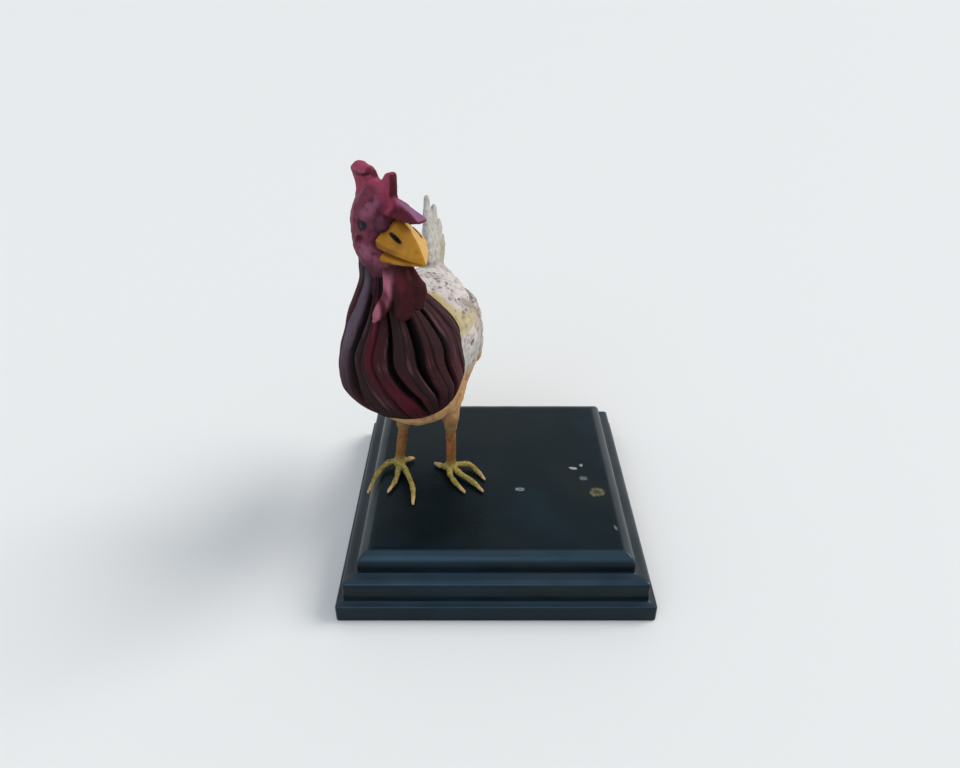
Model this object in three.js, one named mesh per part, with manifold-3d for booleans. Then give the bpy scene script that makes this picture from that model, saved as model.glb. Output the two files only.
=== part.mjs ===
// A clay hen with a tall comb, standing at one side of a stepped, lacquered wooden plinth.
// Millimetres, +Z up, the origin at the middle of the plinth's underside, the plinth's front facing -Y.
import * as THREE from "three";
import { mergeVertices } from "three/addons/utils/BufferGeometryUtils.js";
import Module from "manifold-3d";

const wasm = await Module();
wasm.setup();

// The plinth: three square tiers cut from one block, the upper two with a rounded top edge.
const BASE_TIER_WIDTH = 150;
const BASE_TIER_HEIGHT = 9.2;
const BASE_TIER_ARRIS = 0.8;
const MIDDLE_TIER_STEP = 3.6;
const MIDDLE_TIER_HEIGHT = 11.7;
const MIDDLE_TIER_ROUND = 3.4;
const TOP_TIER_STEP = 6.6;
const TOP_TIER_HEIGHT = 10.2;
const TOP_TIER_ROUND = 7.2;
const TOP_TIER_ROUND_DROP = 5.4;
const ROUND_STEPS = 6;

// The hen's place on the plinth, and the film of glue under its feet.
const HEN_HEIGHT = 168;
const HEN_FROM_LEFT_EDGE = 21.1;
const HEN_BACK_FROM_MIDDLE = 0;
const HEN_HEADING_DEG = -11;
const HEAD_YAW_DEG = 52;
const GLUE_FILM = 0.1;

// The hen's own sizes below are hundredths of its height, in a frame that stands between its feet:
// X to its left, Y behind it, Z up from its soles.
const HUNDREDTH = HEN_HEIGHT / 100;

const BODY = { centre: [-2.3, 10.5, 40], radii: [16.7, 26, 21] };
const SADDLE = { centre: [-2.6, 23, 46], radii: [8.6, 13, 10], rise: 32 };
const BELLY = { centre: [-1.6, 3, 28], radii: [12.6, 14, 9] };
const WING_FEATHERS = 5;
const WING_FEATHER_RADIUS = 2.9;
const WING_FEATHER_PITCH = 3.7;
const HEAD = { centre: [-5, -12.5, 84], radii: [6.5, 7.2, 9.6] };

// The hackle hangs from the neck like a pear: rows of height, radius and the axis's place.
const HACKLE_SECTIONS = [
  { z: 25.4, radius: 0, x: 4, y: -4.6 },
  { z: 26.8, radius: 5.6, x: 2.8, y: -5.8 },
  { z: 30, radius: 10.6, x: 0.4, y: -7.2 },
  { z: 34.5, radius: 14.6, x: -1.6, y: -8.1 },
  { z: 41, radius: 17, x: -2.9, y: -8.3 },
  { z: 48, radius: 16.4, x: -2.9, y: -8.5 },
  { z: 54, radius: 15, x: -2.3, y: -9 },
  { z: 60, radius: 12.1, x: -3.2, y: -10 },
  { z: 66, radius: 8.2, x: -4.6, y: -11.3 },
  { z: 71, radius: 5.7, x: -5.2, y: -12.2 },
  { z: 77, radius: 5, x: -5.2, y: -12.5 },
  { z: 81, radius: 0, x: -5.2, y: -12.5 },
];
const HACKLE_RINGS = 14;
const LOCKS = 18;
const FACETS_PER_LOCK = 4;
const LOCK_DEPTH = 1.5;
const LOCK_TWIST = 0.6;
const LOCK_UNEVENNESS = 0.14;

const EYE_RADIUS = 1.5;
const EYE = { forward: 1.2, side: 5.3, up: 1.2 };
const COMB_THICKNESS = 2.6;
const COMB_BEVEL = 0.6;
const LEG_RADIUS = 1.5;
const TOE_RADIUS = 1.15;
const ANKLE_HEIGHT = 2.4;

const TAIL_ROOT = { x: -2.6, y: 27, z: 50 };
const TAIL_FEATHERS = 7;
const TAIL_FEATHER_RADIUS = 3.8;
const TAIL_LONGEST = 29;
const TAIL_SHORTEST = 20;
const TAIL_STEEPEST_DEG = 82;
const TAIL_FLATTEST_DEG = 36;

// How many facets an egg has round it and along it, and the block cut away under the soles.
const BODY_FACETS = [24, 14];
const SADDLE_FACETS = [16, 10];
const BELLY_FACETS = [16, 8];
const SOLE_CUT = { breadth: 100, depth: 20 };

const degrees = THREE.MathUtils.degToRad;
const lerp = THREE.MathUtils.lerp;
const vector = (p) => new THREE.Vector3(...p);

// A closed geometry as a solid that can be joined and cut.
function solidOf(geometry) {
  const bare = geometry.clone();
  bare.deleteAttribute("normal");
  bare.deleteAttribute("uv");
  const merged = mergeVertices(bare, 1e-4);
  return new wasm.Manifold(
    new wasm.Mesh({
      numProp: 3,
      vertProperties: merged.attributes.position.array,
      triVerts: new Uint32Array(merged.index.array),
    }),
  );
}

function geometryOf(solid) {
  const mesh = solid.getMesh();
  const indexed = new THREE.BufferGeometry();
  indexed.setAttribute("position", new THREE.BufferAttribute(mesh.vertProperties, 3));
  indexed.setIndex(new THREE.BufferAttribute(mesh.triVerts, 1));
  const faceted = indexed.toNonIndexed();
  faceted.computeVertexNormals();
  return faceted;
}

const joined = (geometries) =>
  geometries.map(solidOf).reduce((whole, next) => whole.add(next));

// An egg: a sphere stretched to three radii, then tipped nose up, turned, and put in place.
function egg({ centre, radii, rise = 0, turn = 0 }, sides = 24, rings = 16) {
  return new THREE.SphereGeometry(1, sides, rings)
    .rotateX(Math.PI / 2)
    .scale(...radii)
    .rotateX(degrees(rise))
    .rotateZ(degrees(turn))
    .translate(...centre);
}

// A limb: a sphere drawn out along a curve, as thick at each share of its way as radiusAt says.
// Its section is squashed by flat, across the direction given as broad.
function limb(points, radiusAt, { sides = 8, rings = 10, flat = 1, broad = [0, 0, 1] } = {}) {
  const curve = new THREE.CatmullRomCurve3(points.map(vector));
  const skin = new THREE.SphereGeometry(1, sides, rings);
  const at = skin.attributes.position;
  for (let i = 0; i < at.count; i++) {
    const polar = Math.acos(THREE.MathUtils.clamp(at.getY(i), -1, 1));
    const share = (1 - Math.cos(polar)) / 2;
    const along = curve.getTangentAt(share);
    const across = vector(broad).cross(along).normalize();
    const wide = new THREE.Vector3().crossVectors(along, across);
    const ring = Math.hypot(at.getX(i), at.getZ(i));
    const radius = ring < 1e-6 ? 0 : radiusAt(share) / ring;
    const place = curve
      .getPointAt(share)
      .addScaledVector(across, at.getX(i) * radius * flat)
      .addScaledVector(wide, at.getZ(i) * radius);
    at.setXYZ(i, place.x, place.y, place.z);
  }
  return skin;
}

// Rounded at both ends, full between them.
const sausage = (radius) => (share) => radius * Math.min(1, 3 * Math.sqrt(share * (1 - share)));
// Thick at the start and drawn out to a point.
const claw = (radius) => (share) => radius * (1 - 0.45 * share) * Math.min(1, 3 * Math.sqrt(1 - share));
// Narrow at the start, broad past the middle, blunt at the end: a feather.
const leaf = (radius) => (share) => radius * Math.min(1, 0.4 + 1.2 * share) * Math.sqrt(1 - share ** 5);
// Narrow above, broadest low down, round below: a hanging drop.
const drop = (radius) => (share) => radius * (0.45 + 0.55 * share) * Math.sqrt(1 - share ** 6);

// One square tier profile turned about the middle in four steps gives mitred corners.
function plinth() {
  const baseHalf = BASE_TIER_WIDTH / 2;
  const middleHalf = baseHalf - MIDDLE_TIER_STEP;
  const topHalf = middleHalf - TOP_TIER_STEP;
  const middleTop = BASE_TIER_HEIGHT + MIDDLE_TIER_HEIGHT;
  const top = middleTop + TOP_TIER_HEIGHT;
  const rounded = (half, height, run, drop) =>
    Array.from({ length: ROUND_STEPS + 1 }, (_, i) => {
      const angle = ((i / ROUND_STEPS) * Math.PI) / 2;
      return [half - run + run * Math.cos(angle), height - drop + drop * Math.sin(angle)];
    });
  const profile = [
    [0, 0],
    [baseHalf - BASE_TIER_ARRIS, 0],
    [baseHalf, BASE_TIER_ARRIS],
    [baseHalf, BASE_TIER_HEIGHT - BASE_TIER_ARRIS],
    [baseHalf - BASE_TIER_ARRIS, BASE_TIER_HEIGHT],
    [middleHalf, BASE_TIER_HEIGHT],
    ...rounded(middleHalf, middleTop, MIDDLE_TIER_ROUND, MIDDLE_TIER_ROUND / 2),
    [topHalf, middleTop],
    ...rounded(topHalf, top, TOP_TIER_ROUND, TOP_TIER_ROUND_DROP),
    [0, top],
  ].map(([half, height]) => new THREE.Vector2(half * Math.SQRT2, height));
  const block = new THREE.LatheGeometry(profile, 4).rotateY(Math.PI / 4).rotateX(Math.PI / 2);
  return { geometry: block, top, topFaceHalf: topHalf - TOP_TIER_ROUND };
}

const hackleOutline = new THREE.CatmullRomCurve3(
  HACKLE_SECTIONS.map(({ radius, z }) => new THREE.Vector3(radius, 0, z)),
);
const hackleAxis = new THREE.CatmullRomCurve3(
  HACKLE_SECTIONS.map(({ x, y }) => new THREE.Vector3(x, y, 0)),
);

// Each lock is a rounded rib down the pear, with a sharp groove between it and the next.
function hackle() {
  const pear = new THREE.SphereGeometry(1, LOCKS * FACETS_PER_LOCK, HACKLE_RINGS);
  const at = pear.attributes.position;
  for (let i = 0; i < at.count; i++) {
    const polar = Math.acos(THREE.MathUtils.clamp(-at.getY(i), -1, 1));
    const share = Math.round((polar / Math.PI) * HACKLE_RINGS) / HACKLE_RINGS;
    const round = Math.atan2(at.getZ(i), at.getX(i));
    const rib = Math.abs(Math.sin((round * LOCKS) / 2));
    const fade = Math.sin(Math.PI * share) ** 0.7;
    const groove = LOCK_DEPTH * fade * (1 - rib ** 0.6);
    const { x: radius, z } = hackleOutline.getPoint(share);
    const axis = hackleAxis.getPoint(share);
    const turn = -round + LOCK_TWIST * (1 - share) + LOCK_UNEVENNESS * Math.sin(3 * round + 1);
    const out = Math.max(0, radius - groove);
    at.setXYZ(i, axis.x + out * Math.cos(turn), axis.y + out * Math.sin(turn), z);
  }
  return pear;
}

// The head and what grows on it are made facing -Y with the head's middle at the origin.
function head() {
  const skull = egg({ centre: [0, 0, 0], radii: HEAD.radii }, 18, 12);
  const throat = egg({ centre: [-0.2, -1, -7.2], radii: [5.4, 6.6, 4.6], rise: -14 }, 14, 8);
  const eyes = [-1, 1].map((side) =>
    egg(
      { centre: [side * EYE.side, -EYE.forward, EYE.up], radii: [EYE_RADIUS, EYE_RADIUS, EYE_RADIUS] },
      8,
      6,
    ),
  );
  const lobes = [-1, 1].map((side) => egg({ centre: [side * 4.4, 1.4, -3.6], radii: [1.7, 2.2, 3] }, 8, 6));
  return [skull, throat, ...eyes, ...lobes];
}

// The beak: a ridged upper half with a flat facet each side, a rounder lower half, and two nostrils.
function beak() {
  const upper = limb(
    [[0, -4, 1.4], [0, -9.6, 1.2], [0, -14.4, -1.2], [0, -18.8, -5.2]],
    (share) => lerp(6.3, 0.9, share ** 1.5) * Math.min(1, 0.8 + share),
    { sides: 4, rings: 8, flat: 0.56, broad: [1, 0, 0] },
  );
  const lower = limb(
    [[0, -4, -3.4], [0, -10, -3.4], [0, -16.4, -5.8]],
    (share) => lerp(5.6, 0.9, share ** 1.2),
    { sides: 8, rings: 6, flat: 0.46, broad: [1, 0, 0] },
  );
  return [upper, lower];
}

function nostrils() {
  return [-1, 1].map((side) =>
    egg({ centre: [side * 3.6, -11, 2.4], radii: [1.3, 1.5, 0.55], rise: 24, turn: side * 24 }, 8, 6),
  );
}

// The comb: a plate along the crown with a broad lobe behind, a spike, and a visor over the beak.
function comb() {
  const outline = new THREE.Shape();
  outline.moveTo(6.4, 1);
  outline.lineTo(6.6, 8);
  outline.lineTo(8.2, 12.6);
  outline.lineTo(2.4, 13);
  outline.quadraticCurveTo(0.8, 10.2, -1.4, 10);
  outline.quadraticCurveTo(-4.4, 11, -6, 13.6);
  outline.lineTo(-7.2, 13.2);
  outline.lineTo(-7.6, 8.2);
  outline.quadraticCurveTo(-13, 8.8, -18, 5.8);
  outline.lineTo(-17.6, 5);
  outline.quadraticCurveTo(-12, 3.8, -7, 0.5);
  const plate = new THREE.ExtrudeGeometry(outline, {
    depth: COMB_THICKNESS - 2 * COMB_BEVEL,
    bevelThickness: COMB_BEVEL,
    bevelSize: COMB_BEVEL,
    bevelSegments: 2,
    curveSegments: 4,
  })
    .translate(0, 0, COMB_BEVEL - COMB_THICKNESS / 2)
    .rotateX(Math.PI / 2)
    .rotateZ(Math.PI / 2);
  const curl = limb([[0.4, 8, 12.8], [0.8, 5.6, 13.9], [0.6, 2.8, 13.2]], sausage(1.5), {
    sides: 8, rings: 6,
  });
  const visor = limb([[0, -7, 5.4], [0, -12.6, 6], [0, -18.4, 5.2]], (share) => lerp(2.8, 1.3, share), {
    sides: 8, rings: 6, flat: 0.62, broad: [1, 0, 0],
  });
  return [plate, curl, visor];
}

// Two flat lobes hang from the throat, the smaller one swept back to the bird's right.
function wattles() {
  const swept = limb([[-1, -6.4, -6.2], [-4.6, -9, -14.6], [-8.6, -7.6, -21]], drop(2.3), {
    sides: 8, rings: 8, flat: 0.5, broad: [1, -1, 0],
  });
  const hanging = limb([[0.8, -6.6, -5.4], [1.2, -11.8, -14], [-1.2, -12.4, -21.6]], drop(3.6), {
    sides: 8, rings: 8, flat: 0.5, broad: [0.5, -0.85, 0],
  });
  return [swept, hanging];
}

function tail() {
  const feathers = Array.from({ length: TAIL_FEATHERS }, (_, i) => {
    const share = i / (TAIL_FEATHERS - 1);
    const angle = degrees(lerp(TAIL_STEEPEST_DEG, TAIL_FLATTEST_DEG, share));
    const length = lerp(TAIL_LONGEST, TAIL_SHORTEST, share);
    const lean = lerp(-2.2, -1.2, share) + (i % 2 === 0 ? 0.5 : -0.5);
    const place = (reach, bend) => [
      TAIL_ROOT.x + reach * lean,
      TAIL_ROOT.y + length * reach * Math.cos(angle + bend),
      TAIL_ROOT.z + length * reach * Math.sin(angle + bend),
    ];
    return limb([place(-0.3, 0), place(0.4, 0.05), place(1, -0.06)], leaf(TAIL_FEATHER_RADIUS), {
      sides: 6, rings: 8, flat: 0.34, broad: [0, -1, 0.2],
    });
  });
  const middle = [TAIL_ROOT.x, TAIL_ROOT.y - 1, TAIL_ROOT.z];
  const root = egg({ centre: middle, radii: [4.6, 9.5, 7], rise: 40 }, 14, 8);
  return [root, ...feathers];
}

// A leg from its thigh to the sole, with three toes forward and one behind, each a row of places.
function leg({ thigh, shin, ankle, toes }) {
  const [x, y] = ankle;
  const sole = [x, y, ANKLE_HEIGHT];
  const swell = (share) => LEG_RADIUS * (1 + 3.4 * Math.max(0, 1 - share / 0.42) ** 2 + 0.15 * (1 - share));
  const shank = limb([thigh, shin, sole], swell, { sides: 8, rings: 10, broad: [0, 1, 0] });
  const ball = egg({ centre: [x, y, ANKLE_HEIGHT - 0.6], radii: [2, 1.9, 1.9] }, 8, 6);
  const claws = toes.map((places) => limb([sole, ...places], claw(TOE_RADIUS), { sides: 6, rings: 7 }));
  return [shank, ball, ...claws];
}

const RIGHT_LEG = {
  thigh: [-4.8, 3, 29],
  shin: [-6.5, 0.8, 16],
  ankle: [-8.4, -0.6],
  toes: [
    [[-11.8, -1.8, 1.9], [-13.8, -7, 1.1], [-14.1, -15.2, 0.6]],
    [[-7.6, -5, 1.6], [-7.4, -9, 1.1], [-8.2, -14, 0.7]],
    [[-5.2, -4.4, 1.8], [-1.2, -11, 1], [0.7, -17.8, 0.7]],
    [[-6.6, 2, 1.2], [-4.9, 3.6, 0.8]],
  ],
};
const LEFT_LEG = {
  thigh: [7.4, 4, 31],
  shin: [8.3, 0.8, 17],
  ankle: [8.2, 0.4],
  toes: [
    [[13, 2.6, 1.8], [16.4, 0.8, 1.1], [19.5, -2.4, 0.7]],
    [[11, -1.8, 1.7], [16, -4.6, 1.1], [20, -8.1, 0.7]],
    [[8.4, -2.4, 1.5], [10.4, -5.4, 1.1], [14.7, -9.6, 0.7]],
    [[5.2, 1, 1.1], [2.4, 2.3, 0.8]],
  ],
};

// A place on the body's flank, raised by lift.
function onFlank(side, y, z, lift) {
  const [middleX, middleY, middleZ] = BODY.centre;
  const [radiusX, radiusY, radiusZ] = BODY.radii;
  const left = 1 - ((y - middleY) / radiusY) ** 2 - ((z - middleZ) / radiusZ) ** 2;
  return [middleX + side * (radiusX * Math.sqrt(Math.max(0, left)) + lift), y, z];
}

// A folded wing: a low shoulder, and long feathers laid back over the flank one under another.
function wing(side) {
  const shoulder = egg({ centre: onFlank(side, 7, 44, -1.4), radii: [2.2, 8, 9], turn: side * -8 }, 14, 10);
  const feathers = Array.from({ length: WING_FEATHERS }, (_, i) => {
    const start = { y: 7 + 0.6 * i, z: 50 - WING_FEATHER_PITCH * i };
    const tip = { y: 33.5 - 2.4 * i, z: 48 - 3.4 * i };
    const middle = { y: lerp(start.y, tip.y, 0.5), z: lerp(start.z, tip.z, 0.5) - 0.8 };
    return limb(
      [
        onFlank(side, start.y, start.z, -1),
        onFlank(side, middle.y, middle.z, 0.2),
        onFlank(side, tip.y, tip.z, 0.6),
      ],
      leaf(WING_FEATHER_RADIUS),
      { sides: 6, rings: 8, flat: 0.42, broad: [0, 0, 1] },
    );
  });
  return [shoulder, ...feathers];
}

function hen() {
  const onHead = joined([...head(), ...beak(), ...comb(), ...wattles()])
    .subtract(joined(nostrils()))
    .rotate([0, 0, HEAD_YAW_DEG])
    .translate(HEAD.centre);
  const rest = joined([
    egg(BODY, ...BODY_FACETS),
    egg(SADDLE, ...SADDLE_FACETS),
    egg(BELLY, ...BELLY_FACETS),
    ...wing(-1),
    ...wing(1),
    hackle(),
    ...tail(),
    ...leg(RIGHT_LEG),
    ...leg(LEFT_LEG),
  ]);
  const { breadth, depth } = SOLE_CUT;
  const underSoles = new THREE.BoxGeometry(breadth, breadth, depth).translate(0, 0, -depth / 2);
  return geometryOf(rest.add(onHead).subtract(solidOf(underSoles)).scale(HUNDREDTH));
}

const lacquer = new THREE.MeshStandardMaterial({ color: 0x15191c, roughness: 0.25, metalness: 0 });
const clay = new THREE.MeshStandardMaterial({ color: 0x6a3b40, roughness: 0.55, metalness: 0 });

const stand = plinth();
const standMesh = new THREE.Mesh(stand.geometry, lacquer);
standMesh.name = "plinth";

const henMesh = new THREE.Mesh(hen(), clay);
henMesh.name = "hen";
henMesh.position.set(-stand.topFaceHalf + HEN_FROM_LEFT_EDGE, HEN_BACK_FROM_MIDDLE, stand.top + GLUE_FILM);
henMesh.rotation.z = degrees(HEN_HEADING_DEG);

const figurine = new THREE.Group();
figurine.add(standMesh, henMesh);

export default figurine;
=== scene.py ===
# A painted clay hen on a black lacquered plinth: the fine shapes, the paint and the view of it.
from math import cos, pi, radians, sin
from types import SimpleNamespace

import bpy
import numpy as np
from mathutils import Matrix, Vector


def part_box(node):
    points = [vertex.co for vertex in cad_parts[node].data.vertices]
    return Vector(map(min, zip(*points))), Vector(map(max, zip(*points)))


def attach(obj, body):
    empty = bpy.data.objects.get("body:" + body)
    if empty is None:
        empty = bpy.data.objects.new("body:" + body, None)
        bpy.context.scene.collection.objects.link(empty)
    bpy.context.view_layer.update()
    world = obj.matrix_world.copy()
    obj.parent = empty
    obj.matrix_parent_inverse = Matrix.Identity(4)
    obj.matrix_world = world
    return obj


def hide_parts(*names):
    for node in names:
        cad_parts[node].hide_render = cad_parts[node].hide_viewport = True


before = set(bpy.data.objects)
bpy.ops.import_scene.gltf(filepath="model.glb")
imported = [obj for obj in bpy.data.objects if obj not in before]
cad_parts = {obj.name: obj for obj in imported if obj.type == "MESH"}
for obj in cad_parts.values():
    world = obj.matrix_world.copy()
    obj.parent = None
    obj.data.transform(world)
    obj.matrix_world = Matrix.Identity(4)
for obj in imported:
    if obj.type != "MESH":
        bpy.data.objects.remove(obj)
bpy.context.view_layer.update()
MM = 0.001
TINY = 1e-9
TINY_AREA = 1e-12
FAR = 1e9

# The hen's own frame stands between its feet, in hundredths of its height.
HEN_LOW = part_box("hen")[0]
HUNDREDTH = 1.68 * MM
HEN_AT = (-36.5 * MM, 0.0, HEN_LOW.z)
HEN_HEADING_DEG = -11

# Where the photograph was taken from, found from the plinth's edges.
CAMERA_AT = (-7.534 * MM, -305.163 * MM, 275.208 * MM)
CAMERA_DOWN_DEG = 32.0
CAMERA_LENS = 27.23
CAMERA_NEAR = 0.01

FLOOR_HALF = 6.0
FLOOR_COLOUR = (0.72, 0.71, 0.69, 1)
FLOOR_ROUGHNESS = 0.85
WORLD_COLOUR = (0.94, 0.97, 1.0, 1)
WORLD_STRENGTH = 0.6
# Each lamp: where it shines from, its strength, how many degrees across it looks, and its tint.
LAMPS = {
    "window": ((1.2, 0.3, 1.2), 1.9, 30, (1.0, 0.98, 0.95)),
    "sky": ((-0.5, -1.3, 1.2), 1.1, 45, (0.62, 0.79, 1.0)),
}


# Distance fields: a form is a function of places that is below nought inside it.
def turned(p, centre, rise=0.0, turn=0.0):
    q = p - np.asarray(centre, float)
    c, s = cos(radians(turn)), sin(radians(turn))
    x, y, z = q[..., 0] * c + q[..., 1] * s, q[..., 1] * c - q[..., 0] * s, q[..., 2]
    c, s = cos(radians(rise)), sin(radians(rise))
    return np.stack([x, y * c + z * s, z * c - y * s], -1)


def egg(centre, radii, rise=0.0, turn=0.0):
    r = np.asarray(radii, float)

    def field(p):
        q = turned(p, centre, rise, turn)
        a = np.linalg.norm(q / r, axis=-1)
        b = np.linalg.norm(q / (r * r), axis=-1) + TINY
        return a * (a - 1) / b

    field.box = (np.asarray(centre, float) - max(radii), np.asarray(centre, float) + max(radii))
    return field


def spline(points, n):
    # n rows on a smooth curve through the points
    p = np.asarray(points, float)
    if len(p) == 2:
        t = np.linspace(0, 1, n)[:, None]
        return p[0] * (1 - t) + p[1] * t
    e = np.vstack([2 * p[0] - p[1], p, 2 * p[-1] - p[-2]])
    u = np.linspace(0, len(p) - 1, n)
    i = np.minimum(u.astype(int), len(p) - 2)
    t = (u - i)[:, None]
    a, b, c, d = e[i], e[i + 1], e[i + 2], e[i + 3]
    return 0.5 * (2 * b + (c - a) * t + (2 * a - 5 * b + 4 * c - d) * t**2 + (3 * b - a - 3 * c + d) * t**3)


def tube(points, radii, flat=1.0, broad=(0, 0, 1), n=12):
    # a limb along a curve, squeezed to flat of its radius square to the broad direction
    line = spline(points, n)
    radius = np.interp(np.linspace(0, 1, n), np.linspace(0, 1, len(radii)), radii)

    def field(p):
        best = np.full(p.shape[:-1], FAR)
        for i in range(n - 1):
            step = line[i + 1] - line[i]
            length = np.linalg.norm(step)
            across = np.cross(broad, step / length)
            across /= np.linalg.norm(across) + TINY
            t = np.clip((p - line[i]) @ step / length**2, 0, 1)
            q = p - (line[i] + t[..., None] * step)
            r = radius[i] + t * (radius[i + 1] - radius[i])
            side = q @ across
            rest = np.maximum((q * q).sum(-1) - side * side, 0)
            a = np.sqrt((side / (r * flat)) ** 2 + rest / r**2)
            b = np.sqrt((side / (r * flat) ** 2) ** 2 + rest / r**4) + TINY
            best = np.minimum(best, a * (a - 1) / b)
        return best

    field.box = (line.min(0) - radius.max(), line.max(0) + radius.max())
    return field


PLATE_REACH = 4


def plate(outline, half, soft):
    # an upright plate in the middle plane X = 0 with soft edges; half gives its half thickness
    o = np.asarray(outline, float)

    def field(p):
        y, z = p[..., 1], p[..., 2]
        best = np.full(y.shape, FAR)
        inside = np.zeros(y.shape, bool)
        for (ay, az), (by, bz) in zip(o, np.roll(o, -1, 0)):
            ey, ez = by - ay, bz - az
            t = np.clip(((y - ay) * ey + (z - az) * ez) / (ey * ey + ez * ez), 0, 1)
            best = np.minimum(best, np.hypot(y - ay - t * ey, z - az - t * ez))
            level = ez if abs(ez) > TINY else TINY
            inside ^= ((az > z) != (bz > z)) & (y < (z - az) * ey / level + ay)
        flat = np.where(inside, -best, best) + soft
        side = np.abs(p[..., 0]) - half(y, z) + soft
        outside = np.hypot(np.maximum(flat, 0), np.maximum(side, 0))
        return outside + np.minimum(np.maximum(flat, side), 0) - soft

    field.box = (np.array([-PLATE_REACH, *o.min(0)]), np.array([PLATE_REACH, *o.max(0)]))
    return field


def blend(a, b, soft):
    h = np.clip(0.5 + 0.5 * (b - a) / soft, 0, 1)
    return b * (1 - h) + a * h - soft * h * (1 - h)


OPEN_AIR = 5.0


def together(parts):
    # parts are (field, softness, cut away or not), each worked out only in the box that it reaches
    def field(axes):
        values = np.full(tuple(len(a) for a in axes), OPEN_AIR)
        for part, soft, cut in parts:
            low, high = part.box[0] - soft * 2 - 1, part.box[1] + soft * 2 + 1
            box = tuple(slice(*np.searchsorted(a, [l, h])) for a, l, h in zip(axes, low, high))
            if any(b.start >= b.stop for b in box):
                continue
            grid = np.stack(np.meshgrid(*(a[b] for a, b in zip(axes, box)), indexing="ij"), -1)
            if cut:
                values[box] = -blend(-values[box], part(grid), soft)
            else:
                values[box] = blend(part(grid), values[box], soft)
        return values

    return field


def nearest(parts, p):
    return np.minimum.reduce([part(p) for part, _, cut in parts if not cut])


# Meshes.
def normals(points, faces):
    out = np.zeros_like(points)
    a, b, c, d = (points[faces[:, k]] for k in range(4))
    face = np.cross(c - a, d - b)
    for k in range(4):
        for axis in range(3):
            out[:, axis] += np.bincount(faces[:, k], face[:, axis], len(points))
    return out / (np.linalg.norm(out, axis=1)[:, None] + TINY_AREA)


CORNERS = [(i, j, k) for i in (0, 1) for j in (0, 1) for k in (0, 1)]
NEAR_FAR = [slice(None, -1), slice(1, None)]
CREASE_REACH = 3


def mesh_points(corner, at):
    # in each cell, the middle of the places where the field passes nought along its edges
    total = np.zeros((len(at), 3))
    number = np.zeros(len(at))
    for a in CORNERS:
        for axis in range(3):
            if a[axis]:
                continue
            va, vb = corner[a], corner[tuple(a[i] + (i == axis) for i in range(3))]
            crossing = (va < 0) != (vb < 0)
            t = np.where(crossing, va / np.where(crossing, va - vb, 1), 0)
            place = np.array(a, float) + np.eye(3)[axis] * t[:, None]
            total += np.where(crossing[:, None], place, 0)
            number += crossing
    return at + total / number[:, None]


def mesh_quads(inside, index):
    # a quad through the four cells round each grid edge that passes through the skin
    quads = []
    for axis in range(3):
        near, far = [slice(None)] * 3, [slice(None)] * 3
        near[axis], far[axis] = NEAR_FAR
        flip = inside[tuple(near)] != inside[tuple(far)]
        where = np.argwhere(flip)
        start = inside[tuple(near)][flip]
        u, v = [(1, 2), (2, 0), (0, 1)][axis]
        ring = []
        for du, dv in ((-1, -1), (0, -1), (0, 0), (-1, 0)):
            c = where.copy()
            c[:, u] += du
            c[:, v] += dv
            ring.append(index[c[:, 0], c[:, 1], c[:, 2]])
        ring = np.stack(ring, 1)
        ring[~start] = ring[~start][:, ::-1]
        quads.append(ring)
    return np.concatenate(quads)


def creases(values, points, out, low, step):
    # how much of the room ahead of a point is filled: near nought on a flat, near one in a crease
    reach = CREASE_REACH * step
    ahead = np.clip((points + out * reach - low) / step, 0, np.array(values.shape) - 1.001)
    cell = ahead.astype(int)
    t = ahead - cell
    open_room = 0
    for c in CORNERS:
        weight = np.prod(np.where(np.array(c), t, 1 - t), axis=1)
        open_room = open_room + weight * values[cell[:, 0] + c[0], cell[:, 1] + c[1], cell[:, 2] + c[2]]
    return 1 - open_room / reach


def surface(field, low, high, step):
    # a closed mesh of quads round the places where the field is below nought, and how creased it is
    axes = [np.arange(low[i], high[i] + step, step) for i in range(3)]
    values = field(axes)
    for axis in range(3):
        ends = [slice(None)] * 3
        ends[axis] = [0, -1]
        values[tuple(ends)] = step
    inside = values < 0
    count = sum(inside[NEAR_FAR[i], NEAR_FAR[j], NEAR_FAR[k]].astype(np.int8) for i, j, k in CORNERS)
    mixed = (count > 0) & (count < len(CORNERS))
    at = np.argwhere(mixed)
    index = np.full(mixed.shape, -1, np.int64)
    index[mixed] = np.arange(len(at))
    corner = {c: values[at[:, 0] + c[0], at[:, 1] + c[1], at[:, 2] + c[2]] for c in CORNERS}
    points = np.asarray(low) + step * mesh_points(corner, at)
    faces = mesh_quads(inside, index)
    out = normals(points, faces)
    return points, faces, out, creases(values, points, out, low, step)


def grid_quads(rows, columns):
    # quads between one ring of points and the next
    i, j = np.meshgrid(np.arange(rows - 1), np.arange(columns), indexing="ij")
    k = (j + 1) % columns
    quads = [i * columns + j, i * columns + k, (i + 1) * columns + k, (i + 1) * columns + j]
    return np.stack(quads, -1).reshape(-1, 4)


# Relief and paint are functions of place, with every random number fixed by its seed.
HASH_PLACE = (73856093, 19349663, 83492791)
HASH_SEED = 40503
HASH_MIX = ((15, 739982445), (12, 695872825))
HASH_LAST = 15
HASH_MOST = 0xFFFFFFFF


def hashed(cell, seed):
    h = (cell[..., 0] * HASH_PLACE[0]) ^ (cell[..., 1] * HASH_PLACE[1]) ^ (cell[..., 2] * HASH_PLACE[2])
    h = (h ^ (seed * HASH_SEED)) & HASH_MOST
    for shift, factor in HASH_MIX:
        h = ((h ^ (h >> shift)) * factor) & HASH_MOST
    return (h ^ (h >> HASH_LAST)) / HASH_MOST


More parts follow.
